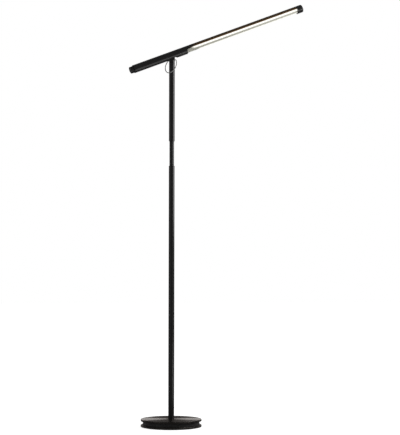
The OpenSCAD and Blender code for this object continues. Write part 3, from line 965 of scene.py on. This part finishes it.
@dataclass
class PullRing(Assembly):
    """The wire ring that hangs from the knuckle, used to turn and tilt the head."""

    bend: float = 1.1 * MM
    spacing: float = 0.35 * MM
    steps_round: int = 20
    steps_leg: int = 60
    steps_arc: int = 400

    def rounded(self, line: Array) -> Array:
        """Rounds the corners of a line by a Gaussian mean along it.

        The line is read at even steps. Past each end it goes on as itself turned half round
        about that end, so that the ends keep their places.

        Args:
            line: The line's points, (n, 2).

        Returns:
            The rounded line's points, (m, 2).
        """
        steps = np.r_[0, np.cumsum(np.linalg.norm(np.diff(line, axis=0), axis=1))]
        even = np.arange(0, steps[-1], self.spacing)
        flat = np.stack([np.interp(even, steps, column) for column in line.T], 1)
        count = int(4 * self.bend / self.spacing)
        away = np.arange(-count, count + 1) * self.spacing
        weight = np.exp(-0.5 * (away / self.bend) ** 2)
        weight /= weight.sum()
        before = flat[:1] + (flat[:1] - flat[count:0:-1])
        after = flat[-1:] + (flat[-1:] - flat[-2 : -count - 2 : -1])
        padded = np.concatenate([before, flat, after])
        return np.stack([np.convolve(column, weight, "valid") for column in padded.T], 1)

    def wire_path(self) -> tuple[Array, Array, float]:
        """The wire's centre line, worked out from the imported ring.

        The ring's plane holds the hinge line and the way from it to the ring's centroid. Its
        line is one arc of a circle with two legs along the hinge line.

        Returns:
            The path's points, the unit vector across the plane, and the wire's radius.
        """
        hinge, axis = self.joint("ring_swing")
        points = points_of(self.node("pull_ring")) - hinge
        down = points.mean(0) - (points.mean(0) @ axis) * axis
        down /= np.linalg.norm(down)
        across = np.cross(axis, down)
        wire = np.percentile(np.abs(points @ across), 90)  # a few corners of its facets are out
        half = np.abs(points @ axis).max()
        radius, centre = half - wire, (points @ down).max() - half
        on_leg = np.abs(points @ down) < 0.6 * wire
        tip, corner = np.abs((points @ axis)[on_leg]).min(), math.sqrt(radius**2 - centre**2)
        past = math.degrees(math.asin(centre / radius))
        sweep = arc((0.0, centre), radius, -past, 180.0 + past, self.steps_arc)
        leg = np.linspace([tip, 0.0], [corner, 0.0], self.steps_leg)
        smooth = self.rounded(np.concatenate([leg[:-1], sweep, (leg * [-1, 1])[::-1][1:]]))
        return hinge + smooth[:, :1] * axis + smooth[:, 1:] * down, across, wire

    def build(self) -> None:
        """Builds the ring as one bent wire with domed ends."""
        path, across, wire = self.wire_path()
        grid = tube_along(path, wire, self.steps_round, across)
        skin = Skin("bent_ring").patch(grid, around=True)
        for end, inner in ((0, 1), (-1, -2)):
            push = path[end] - path[inner]
            push *= 0.5 * wire / np.linalg.norm(push)
            skin.patch(domed_end(grid[end], path[end], push), around=True)
        steel = BrushedMetal("ring_wire", (0.32, 0.32, 0.31), 0.30, metallic=0.5).build()
        self.add(skin.build(), "ring", "ring_wire", [steel], ("pull_ring",))


# ---------------- head


@dataclass
class OnHead(Assembly):
    """A sub-assembly that lies along the head."""

    def axes(self) -> Axes:
        """The head's axes at rest: from the pivot, along the tube, to the side and up."""
        pivot, _ = self.joint("head_tilt")
        _, knob_axis = self.joint("dimmer_turn")
        side = np.array([0.0, 1.0, 0.0])
        return Axes(pivot, -knob_axis, side, np.cross(-knob_axis, side))

    def span(self, name: str) -> tuple[Array, Array]:
        """The lowest and highest distances of a node along the head's three axes."""
        local = self.axes().local(points_of(self.node(name)))
        return local.min(0), local.max(0)


@dataclass
class LightHead(OnHead):
    """The long tube with its light window, the diodes, the lens and the driver."""

    body_side: float = 5.0 * MM
    corner: float = 0.45 * MM
    pool: float = 2.0 * MM
    tab_share: float = 0.72
    tab_sunk: float = 0.05 * MM
    flutes: int = 64
    flute_depth: float = 0.07 * MM
    lens_wall: float = 1.2 * MM
    lens_steps: int = 40
    board_inset: float = 4.0 * MM
    resistor_width: float = 1.6 * MM
    resistor_height: float = 0.55 * MM

    def diode_places(self) -> Array:
        """The distance of each diode's middle along the head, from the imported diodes.

        Their corners are sorted along the head and split where a step is longer than a body.
        """
        reach = np.sort(self.axes().local(points_of(self.node("leds")))[:, 0])
        groups = np.split(reach, np.flatnonzero(np.diff(reach) > 1.5 * self.body_side) + 1)
        return np.array([(g[0] + g[-1]) / 2 for g in groups])

    def rounded_square(self, half: float, corner: float, steps: int = 4) -> Array:
        """The outline of a square with round corners, (4 * steps, 2), once round."""
        inner = half - corner
        turns = ((inner, inner, 0), (-inner, inner, 90), (-inner, -inner, 180))
        corners = (*turns, (inner, -inner, 270))
        return np.concatenate([arc((x, y), corner, a, a + 90, steps) for x, y, a in corners])

    def diodes(self) -> Object:
        """Builds the row of diodes: chamfered bodies, filled pools and end terminals.

        A body is a rounded square carried down through levels of (scale, height); its mouth
        steps in to the pool, which is a shallow dome of the same outline. A terminal is a flat
        profile of (distance past the body, height) carried across a part of the body's side.
        """
        head = self.axes()
        low, high = self.span("leds")
        middles = self.diode_places()[:, None, None]
        height = high[2] - low[2]
        outline = self.rounded_square(self.body_side / 2, self.corner)
        pool = self.pool / (self.body_side / 2)
        levels = np.array(
            [(0.0, 0), (1.0, 0), (1.0, 0.82), (0.94, 1.0), (pool, 1.0), (pool - 0.03, 0.8)]
        )
        dome = np.array([(pool - 0.03, 0.8), (0.6, 0.86), (0.35, 0.9), (0.0, 0.92)])
        skin = Skin("diode_row")
        for slot, rows in enumerate((levels, dome)):
            flat = rows[:, :1, None] * outline[None]
            down = high[2] - rows[:, 1:] * height + 0 * outline[None, :, 0]
            grid = head.place(middles + flat[..., 0], flat[..., 1], down)
            skin.patch(grid, around=True, slot=slot)
        tab = np.array([(0.0, 0.0), (0.5, 0.0), (0.5, 0.3), (0.35, 0.42), (0.0, 0.42)]) * MM
        sides = np.linspace(-0.5, 0.5, 3) * self.tab_share * self.body_side
        for way in (-1, 1):
            reach = middles + way * (self.body_side / 2 + tab[:, :1] - self.tab_sunk)
            skin.patch(head.place(reach, sides[None], high[2] - tab[:, 1:]), slot=2)
        return skin.build(30.0)

    def board_parts(self) -> Object:
        """Builds what else is soldered to the light board: one resistor after each third diode.

        Each is twice as long as wide, with the cross-section sign(cos a) |cos a| ** 0.4 and
        sin a ** 0.4, times half its width and its height. Its ends are a second material.
        """
        head = self.axes()
        _, high = self.span("leds")
        middles = self.diode_places()
        spots = ((middles[2:-1:3] + middles[3::3]) / 2)[:, None, None]
        turn = np.radians(np.linspace(0, 180, 9))
        across = np.linspace(-1.0, 1.0, 9) * self.resistor_width
        cross = np.stack([np.cos(turn), np.sin(turn)], 1)
        skin = Skin("board_resistors")
        for slot, columns in ((0, slice(2, 7)), (1, slice(0, 3)), (1, slice(6, 9))):
            wide = np.sign(cross[:, 0]) * np.abs(cross[:, 0])[None] ** 0.4
            x = np.swapaxes(spots + self.resistor_width / 2 * wide, -1, -2)
            z = high[2] - self.resistor_height * (cross[:, 1] ** 0.4)[:, None]
            skin.patch(head.place(x, across[columns][None], z), slot=slot)
        return skin.build(30.0)

    def lens_profile(self) -> Array:
        """The closed profile of the lens across the head, as (side, up).

        The outside is an arc about the head's axis up to the shell's edge. The inside has fine
        flutes: its radius falls by the flute depth times the square of a sine.
        """
        low, high = self.span("lens")
        outer = -low[2]
        inner = outer - self.lens_wall
        start, start_in = (math.asin(high[2] / radius) for radius in (outer, inner))
        count = 4 * self.flutes + 1
        turn = np.linspace(math.pi - start, 2 * math.pi + start, count)
        back = np.linspace(2 * math.pi + start_in, math.pi - start_in, count)
        fluted = inner - self.flute_depth * np.sin((back - back[0]) * self.flutes / 2) ** 2
        ring = np.stack([outer * np.cos(turn), outer * np.sin(turn)], 1)
        return np.concatenate([ring, np.stack([fluted * np.cos(back), fluted * np.sin(back)], 1)])

    def lens(self) -> Object:
        """Builds the lens: its profile carried along the window, with closed ends."""
        low, high = self.span("lens")
        profile = self.lens_profile()
        reach = np.linspace(low[0], high[0], self.lens_steps)[:, None]
        grid = self.axes().place(reach, profile[None, :, 0], profile[None, :, 1])
        skin = Skin("frosted_lens").patch(grid, around=True)
        outside, inside = np.split(profile, 2)
        for end in (low[0], high[0]):
            rim = np.stack([outside, inside[::-1]])
            skin.patch(self.axes().place(end, rim[..., 0], rim[..., 1]))
        return skin.build(40.0)

    def build(self) -> None:
        """Dresses the head's nodes and builds its diodes, resistors and lens."""
        low, high = self.span("lens")
        board_start, board_end = (ends[0] for ends in self.span("led_board"))
        edges = (board_start - self.board_inset, board_end + self.board_inset, high[2])
        window = Window(self.axes(), *(edge / MM for edge in edges))
        bulkhead = Moulding("bulkhead_plastic", (0.010, 0.010, 0.010))
        driver_mask = CircuitBoard("driver_mask", (0.02, 0.14, 0.06), (0.05, 0.24, 0.10))
        carrier_alloy = BrushedMetal("carrier_alloy", (0.7, 0.71, 0.73), 0.3, Lay.LENGTHWISE)
        light_mask = CircuitBoard("light_mask", (0.8, 0.8, 0.77), (0.68, 0.68, 0.64))
        self.finish(
            # the head's coat, with painted light along its window
            (ShellCoat("head_coat", window=window), "head_tube"),
            (PowderCoat("cap_coat", roughness=0.18, specular=0.36), "front_cap"),
            (Moulding("plug_plastic", (0.010, 0.010, 0.010), 0.35), "rear_plug"),
            (bulkhead, "rear_bulkhead", "front_bulkhead"),
            (BrushedMetal("clevis_alloy", (0.06, 0.06, 0.062), 0.38), "clevis"),
            (BrushedMetal("pivot_steel", (0.05, 0.05, 0.055), 0.3), "pivot_screw", "cap_screw"),
            (BrushedMetal("pivot_zinc", ZINC, 0.3), "pivot_nut", "pot_nut"),
            (BrushedMetal("pivot_spring_steel", SPRING_STEEL, 0.3), "pivot_spring"),
            (Moulding("friction_plastic", (0.45, 0.42, 0.36)), "friction_washers"),
            (Moulding("tray_plastic", (0.014, 0.014, 0.014)), "driver_tray"),
            (driver_mask, "driver_board"),
            (Moulding("component_bodies", (0.03, 0.03, 0.033), 0.35), "driver_parts"),
            (BrushedMetal("pot_metal", (0.45, 0.45, 0.46)), "dimmer_pot"),
            (carrier_alloy, "led_carrier"),
            (light_mask, "led_board"),
        )
        white = Moulding("diode_body", (0.85, 0.85, 0.80), 0.4).build()
        phosphor = Phosphor("diode_phosphor").build()
        tin = BrushedMetal("solder_tin", (0.7, 0.7, 0.72), 0.35).build()
        self.add(self.diodes(), "head", "led_phosphor", [white, phosphor, tin], ("leds",))
        dark = Moulding("resistor_body", (0.02, 0.02, 0.022), 0.35).build()
        self.add(self.board_parts(), "head", "parts_dark", [dark, tin])
        # the lens's finish, with its painted glow, amber light and shade
        diodes = tuple(self.diode_places() / MM)
        frosted = FrostedLens("frosted_lens", window, -low[2] / MM, diodes).build()
        self.add(self.lens(), "head", "lens_clear", [frosted], ("lens",))


@dataclass
class Dimmer(OnHead):
    """The knob at the rear end of the head and its shaft."""

    flute_count: int = 48
    flute: float = 0.22 * MM
    flute_ends: Span = (0.9 * MM, 1.4 * MM)
    round_steps: int = 384
    rim: float = 1.6 * MM
    chamfer: float = 0.3 * MM
    dish_lip: float = 1.2 * MM
    dish_depth: float = 0.5 * MM
    skirt_wall: float = 2.4 * MM
    face_wall: float = 3.0 * MM
    bore: float = 2.55 * MM
    hub_wall: float = 2.0 * MM
    hub_short: float = 4.0 * MM

    def knob_profile(self, outer: float, length: float) -> Array:
        """The profile of the knob as (radius, distance from its face), once round its wall.

        The face is dished by depth * (1 - x ** 4), with x from 0 to 1. The rim is a quarter
        round, and the hollow back has a plain hub.

        Args:
            outer: The knob's radius.
            length: Its length.

        Returns:
            The points, (n, 2).
        """
        dish = np.linspace(0.0, outer - self.rim - self.dish_lip, 10)
        near, far = self.flute_ends
        skirt, hub = outer - self.skirt_wall, self.bore + self.hub_wall
        back = length - self.hub_short
        parts = (
            np.stack([dish, self.dish_depth * (1 - (dish / dish[-1]) ** 4)], 1),
            arc((outer - self.rim, self.rim), self.rim, 270, 360, 9),
            [[outer, self.rim + near], [outer, self.rim + far]],
            [[outer, length - far], [outer, length - near]],
            [[outer, length - self.chamfer], [outer - self.chamfer, length]],
            [[skirt, length], [skirt, self.face_wall], [hub, self.face_wall], [hub, back]],
            [[self.bore, back], [self.bore, self.face_wall], [0.0, self.face_wall]],
        )
        return np.concatenate(parts)

    def knob(self) -> Object:
        """Builds the knob: its profile turned about the head's axis, with a fluted skirt.

        The radius of the skirt is R - depth * (0.5 - 0.5 cos(n t)) ** 2, with n flutes round and
        the depth fading to 0 at the rim.
        """
        low, high = self.span("dimmer_knob")
        spread = self.axes().local(points_of(self.node("dimmer_knob")))
        outer = np.hypot(spread[:, 1], spread[:, 2]).max() - INSIDE
        length, far = high[0] - low[0], self.flute_ends[1]
        shape = self.knob_profile(outer, length)
        fluted = (shape[:, 1] >= self.rim + far) & (shape[:, 1] <= length - far)
        depth = self.flute * (fluted & (shape[:, 0] == outer))
        turn = np.linspace(0, 2 * math.pi, self.round_steps, endpoint=False)
        wave = (0.5 - 0.5 * np.cos(self.flute_count * turn)) ** 2
        radius = shape[:, :1] - depth[:, None] * wave
        reach = low[0] + shape[:, 1:] + 0 * turn
        grid = self.axes().place(reach, radius * np.cos(turn), radius * np.sin(turn))
        return Skin("fluted_knob").patch(grid, around=True).build(28.0)

    def build(self) -> None:
        """Dresses the shaft and the grub screw and builds the knob."""
        black = PowderCoat("knob_black", roughness=0.46, specular=0.12).build()
        self.add(self.knob(), "knob", "head_black", [black], ("dimmer_knob",))
        steel = BrushedMetal("shaft_steel", (0.5, 0.5, 0.52), 0.3)
        self.finish((steel, "pot_shaft", "knob_screw"))


# ---------------- studio


@dataclass
class SoftLamp:
    """One rectangular lamp that looks at a point, with the way that its height runs."""

    name: str
    place: Triple
    aim: Triple
    size: Span
    radiance: float
    tall: Triple = (0.0, 0.0, 1.0)
    in_gloss: bool = True

    def build(self) -> None:
        """Adds the lamp: its power is pi times its radiance times its area."""
        data = bpy.data.lights.new(self.name, "AREA")
        data.shape = "RECTANGLE"
        data.size, data.size_y = self.size
        data.energy = math.pi * self.radiance * self.size[0] * self.size[1]
        lamp = bpy.data.objects.new(self.name, data)
        back = (Vector(self.place) - Vector(self.aim)).normalized()
        wide = Vector(self.tall).cross(back).normalized()
        turn = Matrix((wide, back.cross(wide), back)).transposed().to_4x4()
        lamp.matrix_world = Matrix.Translation(self.place) @ turn
        lamp.visible_camera = False
        lamp.visible_glossy = self.in_gloss
        bpy.context.scene.collection.objects.link(lamp)


@dataclass
class Studio:
    """The camera, the pale floor, the white surround and the lamps."""

    azimuth: float = -18.0
    distance: float = 4.1776
    side: float = 0.0964
    height: float = 0.4698
    pitch: float = 3.23
    roll: float = 0.058
    focal_mm: float = 101.98
    sensor_mm: float = 36.0
    fill: float = 0.55
    dim: float = 0.16
    behind: Span = (0.35, 0.85)
    low: Span = (0.34, 0.12)
    floor_half: float = 30.0
    floor_pale: float = 0.8
    floor_catch: float = 0.42
    floor_own: float = 0.80
    floor_gloss: float = 0.15

    def right(self) -> Vector:
        """The camera's right, level."""
        a = math.radians(self.azimuth)
        return Vector((math.cos(a), math.sin(a), 0.0))

    def away(self) -> Vector:
        """The camera's way of looking, level."""
        a = math.radians(self.azimuth)
        return Vector((-math.sin(a), math.cos(a), 0.0))

    def spot(self, right: float, near: float, up: float) -> Triple:
        """A place given as metres to the camera's right, towards it, and up."""
        return tuple(self.right() * right - self.away() * near + Vector((0, 0, up)))

    def camera(self) -> None:
        """Adds the camera at the stated place, looking level plus the pitch."""
        data = bpy.data.cameras.new("camera")
        data.lens = self.focal_mm
        data.sensor_width = self.sensor_mm
        data.clip_end = 50.0
        camera = bpy.data.objects.new("camera", data)
        pitch, roll = math.radians(self.pitch), math.radians(self.roll)
        look = self.away() * math.cos(pitch) + Vector((0, 0, math.sin(pitch)))
        up = Vector((0, 0, math.cos(pitch))) - self.away() * math.sin(pitch)
        turn = Matrix((self.right(), up, -look)).transposed().to_4x4()
        place = Matrix.Translation(self.spot(self.side, self.distance, self.height))
        camera.matrix_world = place @ turn @ Matrix.Rotation(roll, 4, "Z")
        bpy.context.scene.collection.objects.link(camera)
        bpy.context.scene.camera = camera

    def world(self) -> None:
        """The surround: white to look at, white behind the lamp for gloss, and a plain fill.

        For gloss it is 1 low behind the lamp and falls smoothly to the dim level elsewhere, by
        the parts of the ray's direction that point away from the camera and upwards.
        """
        world = bpy.data.worlds.new("surround")
        world.use_nodes = True
        bpy.context.scene.world = world
        g = Graph(world.node_tree)
        direction = g.node("ShaderNodeTexCoord", {}, {}).outputs["Generated"]
        behind = g.along(direction, (0, 0, 0), self.away() * MM).rise(*self.behind)
        low = g.along(direction, (0, 0, 0), (0, 0, MM)).rise(*self.low)
        gloss = behind * low * (1.0 - self.dim) + self.dim
        shown = g.ray("Is Camera Ray", "Is Transmission Ray")
        mirrored = g.ray("Is Glossy Ray")
        strength = shown + (1.0 - shown) * (mirrored * gloss + (1.0 - mirrored) * self.fill)
        back = g.node("ShaderNodeBackground", {}, {"Color": (1, 1, 1, 1), "Strength": strength})
        out = g.node("ShaderNodeOutputWorld", {}, {})
        g.tree.links.new(back.outputs[0], out.inputs["Surface"])

    def floor(self) -> None:
        """A pale floor that looks white and keeps the lamp's shadow.

        To the camera it is a white light of its own plus a part of the light that falls on it;
        to gloss it is dim; to all else it is a plain pale floor.
        """
        mesh = bpy.data.meshes.new("floor")
        half = self.floor_half
        corners = [(-half, -half, 0), (half, -half, 0), (half, half, 0), (-half, half, 0)]
        mesh.from_pydata(corners, [], [(0, 1, 2, 3)])
        floor = bpy.data.objects.new("floor", mesh)
        bpy.context.scene.collection.objects.link(floor)
        s = Shader("floor")

        def shader(kind: str, inputs: dict[Any, Any]) -> Any:
            """The output of a new shader node."""
            return s.node(f"ShaderNode{kind}", {}, inputs).outputs[0]

        pale, faint = (
            shader("BsdfDiffuse", {"Color": (grey, grey, grey, 1)})
            for grey in (self.floor_pale, self.floor_catch)
        )
        light, low = (
            shader("Emission", {"Color": (1, 1, 1, 1), "Strength": strength})
            for strength in (self.floor_own, self.floor_gloss)
        )
        seen = shader("AddShader", {0: faint, 1: light})
        mixed = shader("MixShader", {0: s.ray("Is Glossy Ray"), 1: pale, 2: low})
        looked = s.ray("Is Camera Ray", "Is Transmission Ray")
        dress(floor, s.show(shader("MixShader", {0: looked, 1: mixed, 2: seen})))

    def lamps(self) -> list[SoftLamp]:
        """A tall soft lamp at the right, two on its low side, a weak left one and a top one."""
        spot, tall = self.spot, self.spot(0.5, 0.86, 0.0)
        low, far = (1.7, 1.1), (2.5, 1.27)
        return [
            SoftLamp("tall_right", spot(1.95, 0.25, 1.52), spot(0, 0, 1.3), (1.4, 1.5), 7.0),
            SoftLamp("low_right", spot(*low, 0.02), spot(*low, 2.0), (0.9, 2.6), 1.8, tall),
            SoftLamp("low_far", spot(*far, 0.02), spot(*far, 2.0), (0.5, 0.9), 10.0, tall),
            SoftLamp("weak_left", spot(-2.0, 1.5, 1.1), spot(0, 0, 0.9), (0.8, 2.4), 0.9),
            SoftLamp("top", spot(0.2, 0.4, 3.2), spot(0, 0, 0.4), (1.6, 1.6), 1.2, in_gloss=False),
        ]

    def build(self) -> None:
        """Builds everything of the studio."""
        self.camera()
        self.world()
        self.floor()
        for lamp in self.lamps():
            lamp.build()
            LOG.info("lit %s", lamp.name)
        bpy.context.scene.view_settings.view_transform = "Standard"


def main() -> None:
    """Loads the frame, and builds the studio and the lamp."""
    logging.basicConfig(level=logging.INFO, format="%(name)s %(message)s")
    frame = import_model()
    Studio().build()
    for assembly in (SpoolBase, TelescopicPole, SwivelKnuckle, PullRing, LightHead, Dimmer):
        assembly(frame).build()
        LOG.info("built %s", assembly.__name__)


if __name__ == "__main__":
    main()
